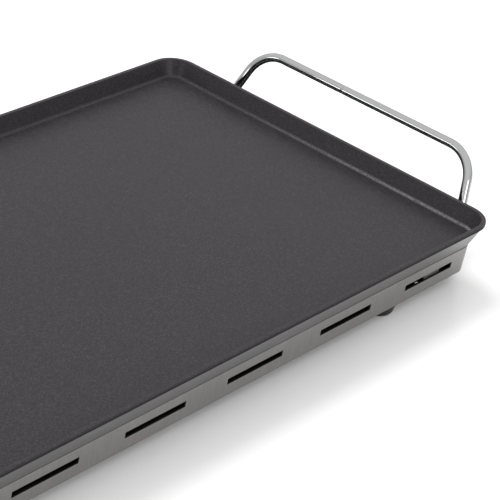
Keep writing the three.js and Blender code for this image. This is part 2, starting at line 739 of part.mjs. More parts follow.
// The shaft starts inside the knob and ends behind the control's wall.
const SHAFT = { inKnob: 7.5, length: 13.1 };
const shaft = turned([[0, 0], [DIAL.shaft, 0], [DIAL.shaft, SHAFT.length], [0, SHAFT.length]], 14);
shaft.rotateY(Math.PI / 2);
shaft.translate(-SHAFT.inKnob, 0, 0);
place(dialGroup, 'dial_shaft', shaft, MATERIAL.screw);

export default object;
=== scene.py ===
"""Electric table-top griddle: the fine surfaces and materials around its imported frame.

Blender works in metres in the frame's own axes: the long side along X, the front towards -Y, +Z up,
with the origin on the resting plane under the middle of the plate. Lengths below are millimetres
unless their name ends in _m or _M. Materials work in metres.
"""

import json
import math

import bmesh
import bpy
from mathutils import Matrix, Vector


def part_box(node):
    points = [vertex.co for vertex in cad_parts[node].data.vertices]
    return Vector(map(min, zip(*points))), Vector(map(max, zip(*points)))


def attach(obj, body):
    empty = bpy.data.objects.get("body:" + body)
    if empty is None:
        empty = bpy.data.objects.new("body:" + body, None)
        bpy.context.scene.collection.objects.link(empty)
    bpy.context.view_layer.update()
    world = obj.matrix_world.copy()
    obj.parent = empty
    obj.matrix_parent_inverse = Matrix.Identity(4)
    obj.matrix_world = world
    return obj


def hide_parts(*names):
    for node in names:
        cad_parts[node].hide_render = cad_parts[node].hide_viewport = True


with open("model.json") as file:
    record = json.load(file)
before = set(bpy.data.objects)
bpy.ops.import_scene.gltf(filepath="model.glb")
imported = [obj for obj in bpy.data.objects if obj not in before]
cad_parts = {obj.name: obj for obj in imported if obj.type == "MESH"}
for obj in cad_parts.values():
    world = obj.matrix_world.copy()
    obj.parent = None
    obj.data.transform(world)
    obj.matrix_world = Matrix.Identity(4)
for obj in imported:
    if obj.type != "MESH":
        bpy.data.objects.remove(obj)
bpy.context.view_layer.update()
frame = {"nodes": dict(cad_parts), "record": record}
MM = 0.001
SIGNS = {"right_rear": (1, 1), "left_rear": (-1, 1), "left_front": (-1, -1), "right_front": (1, -1)}
CORNERS = tuple(SIGNS)
ENDS = ("front", "rear")


# -------- sizes read from the frame
def span(name):
    """A CAD node's lowest and highest corners in millimetres."""
    low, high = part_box(name)
    return low / MM, high / MM


def middle_of(name):
    low, high = span(name)
    return (low + high) / 2


PLATE_HIGH = span("griddle_plate")[1]
PLATE_TOP = PLATE_HIGH.z
PLATE_SIZE = (2 * PLATE_HIGH.x, 2 * PLATE_HIGH.y)
PLATE_RADIUS = 16.5
FRAME_LOW, FRAME_HIGH = span("housing_frame")
FRAME_SIZE = (2 * FRAME_HIGH.x, 2 * FRAME_HIGH.y)
FRAME_RADIUS = 9
DRAFT = 1.4  # how far the housing's wall leans in from top to bottom
SHEET = 1.2  # the housing's gauge

# -------- node helpers
def material(name):
    """A new material, with its node tree and its Principled shader."""
    made = bpy.data.materials.new(name)
    made.use_nodes = True
    return made, made.node_tree, made.node_tree.nodes["Principled BSDF"]


def node(tree, kind, inputs=None, **settings):
    """A node with its settings and input values; an input given as a socket is linked."""
    made = tree.nodes.new(kind)
    for key, value in settings.items():
        setattr(made, key, value)
    for key, value in (inputs or {}).items():
        if isinstance(value, bpy.types.NodeSocket):
            tree.links.new(value, made.inputs[key])
        else:
            made.inputs[key].default_value = value
    return made


def shared(shader, **values):
    """Values that are the same all over the surface, set on the shader's own sockets."""
    for key, value in values.items():
        socket = shader.inputs[key.replace("_", " ")]
        socket.default_value = (*value, 1) if isinstance(value, tuple) else value


def coordinates(tree, scale=(1, 1, 1)):
    """Object coordinates in metres, stretched by scale."""
    place = node(tree, "ShaderNodeTexCoord")
    return node(tree, "ShaderNodeMapping", {"Vector": place.outputs["Object"], "Scale": scale}).outputs[0]


def noise(tree, vector, scale, detail, roughness):
    made = node(tree, "ShaderNodeTexNoise", {"Vector": vector, "Scale": scale, "Detail": detail,
                                            "Roughness": roughness})
    return made.outputs["Fac"]


def remap(tree, value, low, high, to_low, to_high):
    made = node(tree, "ShaderNodeMapRange", {"Value": value, "From Min": low, "From Max": high,
                                            "To Min": to_low, "To Max": to_high})
    return made.outputs["Result"]


def mix_colour(tree, factor, first, second):
    first, second = ((*colour, 1) if isinstance(colour, tuple) else colour for colour in (first, second))
    return node(tree, "ShaderNodeMix", {0: factor, 6: first, 7: second}, data_type="RGBA").outputs[2]


def surface(tree, shader, colour, roughness, relief=None, **values):
    """Link colour and roughness, set the shared values, and add a (height, strength, metres) bump."""
    tree.links.new(colour, shader.inputs["Base Color"])
    tree.links.new(roughness, shader.inputs["Roughness"])
    shared(shader, **values)
    if relief:
        height, strength, distance_m = relief
        made = node(tree, "ShaderNodeBump", {"Height": height, "Strength": strength,
                                             "Distance": distance_m})
        tree.links.new(made.outputs["Normal"], shader.inputs["Normal"])


# -------- materials
COVE_HIGHLIGHT_Z_M = (0.0310, 0.0314, 0.0319, 0.0328)  # the painted highlight along the cove fades in, then out, between these heights


def coated_aluminium():
    """Charcoal non-stick coat: sand-like grain, pale flecks, and a painted highlight along the cove where
    the right wall meets the floor.
    """
    made, tree, shader = material("non_stick_coating")
    place = coordinates(tree)
    grain = noise(tree, place, 620, 6, 0.75)
    speckle = remap(tree, noise(tree, place, 1500, 2, 0.6), 0.5, 0.72, 0.0, 1.0)
    slow = noise(tree, place, 9, 2, 0.5)
    base = mix_colour(tree, slow, (0.0130, 0.0114, 0.0132), (0.0180, 0.0156, 0.0176))
    base = mix_colour(tree, remap(tree, grain, 0.38, 0.68, 0.0, 1.0), base, (0.029, 0.026, 0.029))
    base = mix_colour(tree, speckle, base, (0.054, 0.050, 0.054))
    spot = node(tree, "ShaderNodeSeparateXYZ", {"Vector": place}).outputs
    # Painted highlight: a pale band on the cove at the foot of the right wall, stronger toward the front and
    # mottled by noise.
    line = remap(tree, spot["Z"], *COVE_HIGHLIGHT_Z_M[:2], 0.0, 1.0)
    line = remap(tree, spot["Z"], *COVE_HIGHLIGHT_Z_M[2:], line, 0.0)
    nearer = remap(tree, spot["Y"], -0.10, 0.07, 1.0, 0.14)
    at_right = remap(tree, spot["X"], 0.214, 0.218, 0.09, nearer)
    highlight_mottle = remap(tree, noise(tree, place, 900, 3, 0.7), 0.34, 0.6, 0.15, 1.0)
    for factor in (at_right, highlight_mottle):
        line = node(tree, "ShaderNodeMath", {0: line, 1: factor}, operation="MULTIPLY").outputs[0]
    surface(tree, shader, mix_colour(tree, line, base, (0.17, 0.165, 0.166)),
            remap(tree, grain, 0.3, 0.7, 0.30, 0.46), (grain, 0.55, 0.00016),
            IOR=1.33, Specular_Tint=(1.0, 0.95, 0.99))
    return made


SCRATCH_SCALE, SCRATCH_STRETCH = 900, 0.02


def brushed(name, tone, dark_tone, along, roughness):
    """Brushed sheet metal whose fine scratches run along one axis."""
    made, tree, shader = material(name)
    direction = [1, 1, 1]
    direction["xyz".index(along)] = SCRATCH_STRETCH
    place = coordinates(tree, direction)
    scratches = noise(tree, place, SCRATCH_SCALE, 5, 0.65)
    clouds = noise(tree, coordinates(tree), 14, 2, 0.5)
    tint = mix_colour(tree, remap(tree, scratches, 0.25, 0.75, 0.0, 1.0), dark_tone, tone)
    shade = mix_colour(tree, remap(tree, clouds, 0.3, 0.7, 0.0, 0.25), tint, dark_tone)
    sheen = remap(tree, scratches, 0.3, 0.7, roughness - 0.06, roughness + 0.08)
    surface(tree, shader, shade, sheen, (scratches, 0.12, 0.00004), Metallic=1.0)
    return made


def hazed(name, first, second, grain, rough, relief=None, spread=False, **values):
    """Colour and roughness drift together with one noise, and relief gives it a bump.

    Rough is the remap that makes roughness. Spread stretches the noise over both whole colours.
    """
    made, tree, shader = material(name)
    haze = noise(tree, coordinates(tree), *grain)
    factor = remap(tree, haze, 0.3, 0.7, 0.0, 1.0) if spread else haze
    surface(tree, shader, mix_colour(tree, factor, first, second), remap(tree, haze, *rough),
            relief and (haze, *relief), **values)
    return made


def spark_plastic(name, tone, rough_low, rough_high):
    """Moulded plastic with the fine spark-eroded grain of its tool."""
    made, tree, shader = material(name)
    place = coordinates(tree)
    grain = noise(tree, place, 3200, 4, 0.7)
    slow = noise(tree, place, 30, 2, 0.5)
    lighter = tuple(1.5 * channel for channel in tone)
    surface(tree, shader, mix_colour(tree, remap(tree, slow, 0.3, 0.7, 0.0, 0.6), tone, lighter),
            remap(tree, grain, 0.3, 0.7, rough_low, rough_high), (grain, 0.3, 0.00006))
    return made


def galvanised_sheet():
    """Zinc-coated sheet with its crystal spangle."""
    made, tree, shader = material("galvanised_sheet")
    spangle = node(tree, "ShaderNodeTexVoronoi", {"Vector": coordinates(tree), "Scale": 130})
    facet = node(tree, "ShaderNodeSeparateColor", {"Color": spangle.outputs["Color"]}).outputs[0]
    dust = noise(tree, coordinates(tree), 700, 4, 0.6)
    tint = mix_colour(tree, facet, (0.36, 0.37, 0.38), (0.50, 0.51, 0.52))
    dusted = mix_colour(tree, remap(tree, dust, 0.5, 0.8, 0.0, 0.4), tint, (0.30, 0.30, 0.31))
    surface(tree, shader, dusted, remap(tree, facet, 0.0, 1.0, 0.34, 0.5), Metallic=1.0)
    return made


def speckled(name, first, second, scale, rough_low, rough_high, metallic=0.0, ior=1.5):
    """A plain material with small mottling in both colour and relief."""
    return hazed(name, first, second, (scale, 4, 0.6), (0.3, 0.7, rough_low, rough_high),
                 (0.15, 0.00005), spread=True, Metallic=metallic, IOR=ior)


LOOK = {
    "coating": coated_aluminium(),
    "housing": brushed("brushed_housing", (0.312, 0.30, 0.293), (0.224, 0.215, 0.21), "z", 0.34),
    "skirt": brushed("brushed_plate_edge", (0.225, 0.218, 0.222), (0.165, 0.161, 0.164), "x", 0.36),
    "casting": speckled("raw_casting", (0.34, 0.34, 0.345), (0.46, 0.46, 0.465), 900, 0.45, 0.6, 1.0),
    "galvanised": galvanised_sheet(),
    "chrome": hazed("polished_chrome", (0.46, 0.463, 0.467), (0.50, 0.504, 0.508), (160, 3, 0.6),
                    (0.35, 0.7, 0.03, 0.075), Metallic=1.0),
    "rubber": hazed("moulded_rubber", (0.006, 0.006, 0.0065), (0.014, 0.014, 0.0145), (2200, 3, 0.6),
                    (0.3, 0.7, 0.34, 0.52), relief=(0.2, 0.00008), IOR=1.36),
    "edge": speckled("coated_rim_edge", (0.009, 0.0085, 0.009), (0.017, 0.0155, 0.0165),
                     900, 0.5, 0.68, ior=1.25),
    # The housing's inner skin and foot flange are the same brushed metal as outside; this near-black look is
    # painted shade that keeps the band's slots dark.
    "inside": speckled("painted_shade_inside", (0.006, 0.006, 0.006), (0.014, 0.013, 0.012), 300, 0.6, 0.8),
    "painted": spark_plastic("black_paint", (0.012, 0.012, 0.0125), 0.4, 0.55),
    "screw": speckled("screw_steel", (0.46, 0.46, 0.47), (0.58, 0.58, 0.585), 700, 0.22, 0.34, 1.0),
    "sheath": speckled("heat_stained_sheath", (0.10, 0.085, 0.07), (0.20, 0.18, 0.16), 260, 0.4, 0.6, 1.0),
    "ceramic": speckled("ceramic_bead", (0.68, 0.64, 0.57), (0.80, 0.77, 0.70), 1200, 0.5, 0.7),
    "board": speckled("insulating_board", (0.10, 0.094, 0.085), (0.20, 0.185, 0.165), 260, 0.5, 0.7),
    "phenolic": spark_plastic("phenolic_moulding", (0.017, 0.015, 0.014), 0.42, 0.56),
    "plastic": spark_plastic("black_plastic", (0.016, 0.016, 0.017), 0.36, 0.5),
    "brass": speckled("contact_brass", (0.52, 0.37, 0.14), (0.68, 0.51, 0.22), 600, 0.25, 0.38, 1.0),
    "lens": hazed("lamp_lens", (0.42, 0.03, 0.015), (0.58, 0.05, 0.02), (500, 2, 0.5),
                  (0.3, 0.7, 0.05, 0.12), Transmission_Weight=0.35, IOR=1.49),
    "ink": hazed("print_ink", (0.55, 0.55, 0.55), (0.72, 0.72, 0.71), (3000, 3, 0.6),
                 (0.3, 0.7, 0.45, 0.6)),
}

# -------- mesh helpers
SMOOTH_ANGLE = 35  # degrees; a sharper fold stays an edge


def around(sides):
    """The angles of evenly spaced points round a full turn."""
    return [2 * math.pi * i / sides for i in range(sides)]


def polar(reach, angle, *height):
    return Vector((reach * math.cos(angle), reach * math.sin(angle), *height))


def filleted(corners, steps):
    """Straight runs through (point, radius) corners, with an arc of that radius at each inner corner."""
    line = [corners[0][0]]
    for (before, _), (corner, radius), (after, _) in zip(corners, corners[1:], corners[2:]):
        if radius == 0:
            line.append(corner)
            continue
        back = (before - corner).normalized()
        ahead = (after - corner).normalized()
        half = back.angle(ahead) / 2
        centre = corner + (back + ahead).normalized() * (radius / math.sin(half))
        start = corner + back * (radius / math.tan(half)) - centre
        end = corner + ahead * (radius / math.tan(half)) - centre
        sweep = math.pi - 2 * half
        for i in range(steps + 1):
            ease_out = math.sin(sweep * (1 - i / steps))
            ease_in = math.sin(sweep * i / steps)
            line.append(centre + (start * ease_out + end * ease_in) / math.sin(sweep))
    line.append(corners[-1][0])
    return line


def mirrored_path(half, steps):
    """A rod's route through half its (point, radius) corners, then the same mirrored in Y."""
    other = [((x, -y, z), radius) for (x, y, z), radius in reversed(half)]
    return filleted([(Vector(point), radius) for point, radius in half + other], steps)


def profile(*corners, steps=6):
    """A filleted line from (across, up, radius) triples."""
    return filleted([(Vector((across, up)), radius) for across, up, radius in corners], steps)


def ring(size, radius, inset, height, steps=14):
    """A rounded rectangle, anticlockwise: each corner keeps its centre and shrinks by the inset."""
    points = []
    for quarter, (sx, sy) in enumerate(((1, 1), (-1, 1), (-1, -1), (1, -1))):
        centre = Vector((sx * (size[0] / 2 - radius), sy * (size[1] / 2 - radius), height))
        for i in range(steps + 1):
            angle = (quarter + i / steps) * math.pi / 2
            points.append(centre + (radius - inset) * polar(1, angle, 0))
    return points


def as_object(name, mesh_data, scale=1):
    """A linked object from a bmesh, which is then freed."""
    bmesh.ops.recalc_face_normals(mesh_data, faces=mesh_data.faces)
    bmesh.ops.scale(mesh_data, vec=(scale, scale, scale), verts=mesh_data.verts)
    mesh = bpy.data.meshes.new(name)
    mesh_data.to_mesh(mesh)
    mesh_data.free()
    made = bpy.data.objects.new(name, mesh)
    bpy.context.scene.collection.objects.link(made)
    return made


def finish_mesh(name, mesh_data, looks, weighted=True):
    """An object in metres from a bmesh in millimetres, with its materials and smooth shading."""
    made = as_object(name, mesh_data, MM)
    mesh = made.data
    for look in looks:
        mesh.materials.append(LOOK[look])
    mesh.shade_smooth()
    mesh.set_sharp_from_angle(angle=math.radians(SMOOTH_ANGLE))
    if weighted:
        made.modifiers.new("flat_face_normals", "WEIGHTED_NORMAL").keep_sharp = True
    return made


def loft(rings, closed=False):
    """A bmesh with faces between successive rings of points, capped at both ends unless closed.

    A ring may be one point, which makes a pole.
    """
    made = bmesh.new()
    rows = [[made.verts.new(point) for point in points] for points in rings]
    pairs = list(zip(rows, rows[1:]))
    if closed:
        pairs.append((rows[-1], rows[0]))
    faces = [[row[k % len(row)] for row, k in ((lower, i), (lower, i + 1), (upper, i + 1), (upper, i))]
             for lower, upper in pairs for i in range(max(len(lower), len(upper)))]
    if not closed:
        faces += [list(reversed(rows[0])), rows[-1]]
    for face in faces:
        corners = list(dict.fromkeys(face))
        if len(corners) > 2:
            made.faces.new(corners)
    return made


def turned(line, sides, closed=False):
    """A bmesh turned about +Z from (radius, height) points; a point on the axis becomes a pole."""
    return loft([[(0, 0, point.y)] if point.x < 1e-6
                 else [polar(point.x, angle, point.y) for angle in around(sides)] for point in line],
                closed)


END_ROUND, SEAM_HALF, SEAM_DEPTH = 0.3, 0.8, 0.6


def tube(path, radius, sides, seam=None):
    """A bmesh rod along a path of points, with rounded ends and, at the seam's point, a shallow groove."""
    tangents = []
    for i in range(len(path)):
        before, after = path[max(i - 1, 0)], path[min(i + 1, len(path) - 1)]
        tangents.append((after - before).normalized())
    across = tangents[0].orthogonal().normalized()
    stations = [(path[0], tangents[0], radius - END_ROUND)]
    stations.append((path[0] + tangents[0] * END_ROUND, tangents[0], radius))
    for point, after, tangent in zip(path[1:-1], path[2:], tangents[1:-1]):
        stations.append((point, tangent, radius))
        along = (after - point).normalized()
        on_run = seam and 0 < (seam - point).dot(along) < (after - point).length
        if on_run and (seam - point).cross(along).length < 1:
            for offset, depth in ((-SEAM_HALF, 0), (0, SEAM_DEPTH), (SEAM_HALF, 0)):
                stations.append((seam + along * offset, along, radius - depth))
    stations.append((path[-1] - tangents[-1] * END_ROUND, tangents[-1], radius))
    stations.append((path[-1], tangents[-1], radius - END_ROUND))
    rows = []
    for centre, tangent, size in stations:
        across = (across - tangent * across.dot(tangent)).normalized()
        up = tangent.cross(across)
        rows.append([centre + size * (math.cos(a) * across + math.sin(a) * up) for a in around(sides)])
    return loft(rows)


def moved(mesh_data, x=0, y=0, z=0, turn=None):
    """The bmesh turned by (angle, axis) in degrees, then moved."""
    if turn:
        angle, axis = turn
        rotation = Matrix.Rotation(math.radians(angle), 3, axis)
        bmesh.ops.rotate(mesh_data, verts=mesh_data.verts, matrix=rotation)
    bmesh.ops.translate(mesh_data, verts=mesh_data.verts, vec=(x, y, z))
    return mesh_data


def merged(first, *others):
    """One bmesh that holds them all."""
    for other in others:
        holder = bpy.data.meshes.new("part")
        other.to_mesh(holder)
        other.free()
        first.from_mesh(holder)
        bpy.data.meshes.remove(holder)
    return first


def circle(radius, x=0, y=0, sides=40):
    return [Vector((x, y)) + polar(radius, angle) for angle in around(sides)]


def long_hole(length, width, x, y):
    """A hole along X with round ends."""
    points, steps = [], 10
    for side, turn in ((1, -math.pi / 2), (-1, math.pi / 2)):
        middle = Vector((x + side * (length - width) / 2, y))
        for i in range(steps + 1):
            points.append(middle + polar(width / 2, turn + math.pi * i / steps))
    return points


def cross_shape(reach, half):
    corners = ((reach, half), (half, half), (half, reach))
    points = []
    for quarter in range(4):
        turn = Matrix.Rotation(quarter * math.pi / 2, 2)
        points += [turn @ Vector(corner) for corner in corners]
    return points


def as_bmesh(curve):
    """The closed mesh of a curve or text, which is then thrown away."""
    holder = bpy.data.objects.new("outline", curve)
    mesh = bpy.data.meshes.new_from_object(holder)
    made = bmesh.new()
    made.from_mesh(mesh)
    bmesh.ops.remove_doubles(made, verts=made.verts, dist=1e-4)
    bpy.data.objects.remove(holder)
    bpy.data.curves.remove(curve)
    bpy.data.meshes.remove(mesh)
    return made


def sheet(outlines, thickness, ease):
    """A flat sheet from z = 0 up, with rounded edges: the first outline is its edge, the rest holes.

    The rounding stands proud of each outline by the ease.
    """
    curve = bpy.data.curves.new("outline", "CURVE")
    curve.dimensions = "2D"
    curve.fill_mode = "BOTH"
    curve.extrude = thickness / 2 - ease
    curve.bevel_depth = ease
    curve.bevel_resolution = 2
    for points in outlines:
        spline = curve.splines.new("POLY")
        spline.points.add(len(points) - 1)
        spline.use_cyclic_u = True
        for corner, point in zip(spline.points, points):
            corner.co = (point.x, point.y, 0, 1)
    return moved(as_bmesh(curve), z=thickness / 2)


def lettered(text, size, thickness):
    """A centred digit, raised from z = 0."""
    curve = bpy.data.curves.new("digit", "FONT")
    curve.body = text
    curve.size = size
    curve.align_x = "CENTER"
    curve.align_y = "CENTER"
    curve.extrude = thickness / 2
    return moved(as_bmesh(curve), z=thickness / 2)


def brick(low, high, ease):
    """A block between two corners, with all its edges rounded."""
    low, high = Vector(low), Vector(high)
    middle, size = (low + high) / 2, high - low
    corner = ease * 1.4
    end = corner * 0.95
    line = profile((end, 0, 0), (0, 0, ease), (0, size.z, ease), (end, size.z, 0), steps=4)
    rings = [ring(size.xy, corner, point.x, point.y, 5) for point in line]
    return moved(loft(rings), x=middle.x, y=middle.y, z=low.z)


def carved(body, *tools):
    """The body with each tool's shape cut out of it."""
    block, *cutters = [as_object("carving", mesh_data) for mesh_data in (body, *tools)]
    for cutter in cutters:
        cut = block.modifiers.new("cut", "BOOLEAN")
        cut.operation = "DIFFERENCE"
        cut.solver = "EXACT"
        cut.object = cutter
    evaluated = block.evaluated_get(bpy.context.evaluated_depsgraph_get())
    result = bmesh.new()
    result.from_mesh(evaluated.to_mesh())
    for piece in (block, *cutters):
        mesh = piece.data
        bpy.data.objects.remove(piece)
        bpy.data.meshes.remove(mesh)
    return result


def add_piece(name, mesh_data, look, body, *nodes, slot=None, weighted=True):
    """A piece that rides on a body, takes its looks' materials and hides its CAD nodes; the slot is not
    used.
    """
    looks = [look] if isinstance(look, str) else look
    piece = finish_mesh(name, mesh_data, looks, weighted)
    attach(piece, body)
    slot or looks[0]
    if nodes:
        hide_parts(*nodes)
    return piece


# -------- camera
CAMERA_ANGLES = (-51.20, 30.74, 7.53)  # azimuth, elevation and roll in degrees
CAMERA_PLACE_M = Vector((-0.6220, -0.6381, 0.5841))
CAMERA_LENS = 141.45


def outward(azimuth, elevation):
    """The way out to a camera or light: azimuth 0 is the front, a quarter turn the right end."""
    return Vector((math.sin(azimuth) * math.cos(elevation), -math.cos(azimuth) * math.cos(elevation),
                   math.sin(elevation)))


def add_camera():
    azimuth, elevation, roll = (math.radians(angle) for angle in CAMERA_ANGLES)
    right = Vector((math.cos(azimuth), math.sin(azimuth), 0))
    back = outward(azimuth, elevation)
    up = back.cross(right)
    across = math.cos(roll) * right + math.sin(roll) * up
    upward = math.cos(roll) * up - math.sin(roll) * right
    camera = bpy.data.objects.new("camera", bpy.data.cameras.new("camera"))
    camera.data.lens = CAMERA_LENS
    camera.data.clip_end = 20
    rotation = Matrix((across, upward, back)).transposed().to_4x4()
    camera.matrix_world = Matrix.Translation(CAMERA_PLACE_M) @ rotation
    bpy.context.scene.collection.objects.link(camera)
    bpy.context.scene.camera = camera


add_camera()

# -------- studio
FLOOR_HALF_M, CARD_Z, LIGHT_TARGET_M = 6.0, 0.5, Vector((0, 0, 0.02))


def add_floor():
    floor_mesh = bmesh.new()
    bmesh.ops.create_grid(floor_mesh, x_segments=8, y_segments=8, size=FLOOR_HALF_M / MM)
    made, tree, shader = material("studio_floor")
    faint = noise(tree, coordinates(tree), 3, 2, 0.5)
    colour = mix_colour(tree, faint, (0.95, 0.95, 0.95), (0.97, 0.97, 0.97))
    tree.links.new(colour, shader.inputs["Base Color"])
    shared(shader, Roughness=0.22, IOR=1.4)
    LOOK["floor"] = made
    finish_mesh("floor", floor_mesh, ["floor"], weighted=False)


def add_area_light(name, azimuth, elevation, distance_m, size_m, watts):
    """A square soft box that looks at the target, from angles in degrees."""
    direction = outward(math.radians(azimuth), math.radians(elevation))
    light = bpy.data.objects.new(name, bpy.data.lights.new(name, "AREA"))
    light.data.shape = "SQUARE"
    light.data.size = size_m
    light.data.energy = watts
    light.location = LIGHT_TARGET_M + distance_m * direction
    light.rotation_euler = direction.to_track_quat("Z", "Y").to_euler()
    bpy.context.scene.collection.objects.link(light)
    return light


HORIZON_STRENGTH, SKY_STRENGTH, FULL_AT = 0.54, 0.98, 0.6


def add_world():
    """A soft dome, dimmest at the horizon and at its full strength from a height of FULL_AT up."""
    world = bpy.data.worlds.new("studio")
    world.use_nodes = True
    tree = world.node_tree
    direction = node(tree, "ShaderNodeTexCoord").outputs["Generated"]
    height = node(tree, "ShaderNodeSeparateXYZ", {"Vector": direction}).outputs["Z"]
    level = remap(tree, height, 0.0, FULL_AT, HORIZON_STRENGTH, SKY_STRENGTH)
    tree.links.new(level, tree.nodes["Background"].inputs["Strength"])
    tree.nodes["Background"].inputs["Color"].default_value = (1, 1, 1, 1)
    bpy.context.scene.world = world


def add_handle_flags():
    """Black cards on the floor beside each handle, seen only in reflections, that edge the chrome."""
    made, tree, shader = material("black_card")
    shared(shader, Base_Color=(0.005, 0.005, 0.005), Roughness=0.9)
    LOOK["card"] = made
    for name, x, y, width, length in (
        ("right", 300, 40, 150, 260), ("left", -262, 15, 80, 170), ("far", 420, 40, 90, 330),
    ):
        card_mesh = bmesh.new()
        bmesh.ops.create_grid(card_mesh, x_segments=1, y_segments=1, size=0.5)
        bmesh.ops.scale(card_mesh, vec=(width, length, 1), verts=card_mesh.verts)
        moved(card_mesh, x=x, y=y, z=CARD_Z)
        card = finish_mesh(f"black_card_{name}", card_mesh, ["card"], weighted=False)
        card.visible_camera = False
        card.visible_diffuse = False
        card.visible_shadow = False


add_floor()
add_world()
add_handle_flags()
KEY = {"azimuth": 165, "elevation": 58, "distance_m": 1.7, "size_m": 0.9, "watts": 17}
add_area_light("key_behind", **KEY).visible_glossy = False
add_area_light("front_fill", azimuth=-11, elevation=22, distance_m=1.6, size_m=0.5, watts=5)
add_area_light("left_fill", azimuth=-95, elevation=22, distance_m=1.6, size_m=0.5, watts=2)
add_area_light("rear_strip", azimuth=-124, elevation=5, distance_m=2.2, size_m=0.3, watts=1.2)
bpy.context.scene.view_settings.view_transform = "Standard"

# -------- plate
FLOOR_Z = PLATE_TOP - 10.6
UNDERSIDE_Z = FLOOR_Z - 3
RIM_EDGE_Z = PLATE_TOP - 2.1
SKIRT_BOTTOM = FRAME_HIGH.z + 0.04
RECESS_INSET, TONGUE_INSET, SKIRT_INSET, WALL_TOP_INSET, WALL_FOOT_INSET = 12.2, 9.2, 7.8, 2.6, 6.9


def add_plate():
    """The tray: recessed underside, sloped outer wall, narrow rim, sloped inner wall, cove and floor."""
    top, foot = PLATE_TOP, SKIRT_BOTTOM - 0.6
    outline = profile(
        (RECESS_INSET, UNDERSIDE_Z, 0),
        (RECESS_INSET, foot, 0.4),
        (TONGUE_INSET, foot, 0.4),
        (TONGUE_INSET, SKIRT_BOTTOM, 0.1),
        (SKIRT_INSET, SKIRT_BOTTOM, 0.12),
        (0.8, RIM_EDGE_Z - 0.3, 0.3),
        (0, RIM_EDGE_Z, 0.25),
        (0, top, 0.5),
        (WALL_TOP_INSET, top, 0.6),
        (WALL_FOOT_INSET, FLOOR_Z, 2.4),
        (12, FLOOR_Z, 0),
    )
    rings = [ring(PLATE_SIZE, PLATE_RADIUS, point.x, point.y) for point in outline]
    made = loft(rings)
    count = len(rings[0])
    rim = next(i for i, point in enumerate(outline) if point.y > RIM_EDGE_Z)
    shoulder = next(i for i, point in enumerate(outline) if point.y > top - 0.55)
    tongue = next(i for i, point in enumerate(outline) if point.x < TONGUE_INSET - 0.2)
    for i, face in enumerate(made.faces):  # the looks change at the tongue, the rim's edge and its top
        step = i // count
        if step == len(rings) - 1:  # the two caps: the underside and the tray's floor
            step = 0 if face.calc_center_median().z < FLOOR_Z - 1 else shoulder
        face.material_index = 3 if step < tongue else 2 if step < rim else 1 if step < shoulder else 0
    add_piece("plate_casting", made, ["coating", "edge", "skirt", "casting"], "griddle", "griddle_plate")


add_plate()

# -------- housing
VENT_COUNT, VENT_PITCH, VENT_MIDDLE, VENT_LENGTH, VENT_HEIGHT, VENT_Z = 6, 72.5, 1, 42, 3.7, 17.1
RIGHT_VENT_Y, LEFT_VENT_Y = 36.25, 56  # middles of the vents in the end walls, each side of centre
SOCKET_LENGTH, SOCKET_HEIGHT, SOCKET_Z = 50, 9.9, 18
FOOT_ROLL, FLANGE = 0.9, 6  # radius of the housing's rolled lower edge, and its inward flange


def wall_slots():
    """Openings in the housing's band as (wall, middle, length, height, z of the middle)."""
    slots = []
    for wall in ("front", "rear"):
        for i in range(VENT_COUNT):
            middle = VENT_MIDDLE + (i - (VENT_COUNT - 1) / 2) * VENT_PITCH
            slots.append((wall, middle, VENT_LENGTH, VENT_HEIGHT, VENT_Z))
    for wall, offset in (("right", RIGHT_VENT_Y), ("left", LEFT_VENT_Y)):
        for side in (-1, 1):
            slots.append((wall, side * offset, VENT_LENGTH, VENT_HEIGHT, VENT_Z))
    slots.append(("left", 0, SOCKET_LENGTH, SOCKET_HEIGHT, SOCKET_Z))
    return slots


def band_columns():
    """Points round the band as (outer point, outward normal, wall, position along the wall)."""
    half_x, half_y = FRAME_SIZE[0] / 2, FRAME_SIZE[1] / 2
    x, y = Vector((1, 0, 0)), Vector((0, 1, 0))
    walls = [("right", x, y, half_x, half_y), ("rear", y, -x, half_y, half_x),
             ("left", -x, -y, half_x, half_y), ("front", -y, x, half_y, half_x)]
    columns, corner_steps = [], 12
    for index, (wall, normal, along, reach, half_run) in enumerate(walls):
        run = half_run - FRAME_RADIUS
        stops = {-run, run}
        for name, middle, length, _, _ in wall_slots():
            if name == wall:
                centre = middle * (1 if sum(along) > 0 else -1)
                stops.update((centre - length / 2, centre + length / 2))
        for stop in sorted(stops):
            columns.append((normal * reach + along * stop, normal, wall, stop))
        turn = walls[(index + 1) % 4][1]
        centre = normal * (reach - FRAME_RADIUS) + along * run
        for i in range(1, corner_steps):
            angle = i / corner_steps * math.pi / 2
            outward = math.cos(angle) * normal + math.sin(angle) * turn
            columns.append((centre + outward * FRAME_RADIUS, outward, "corner", 0))
    return columns


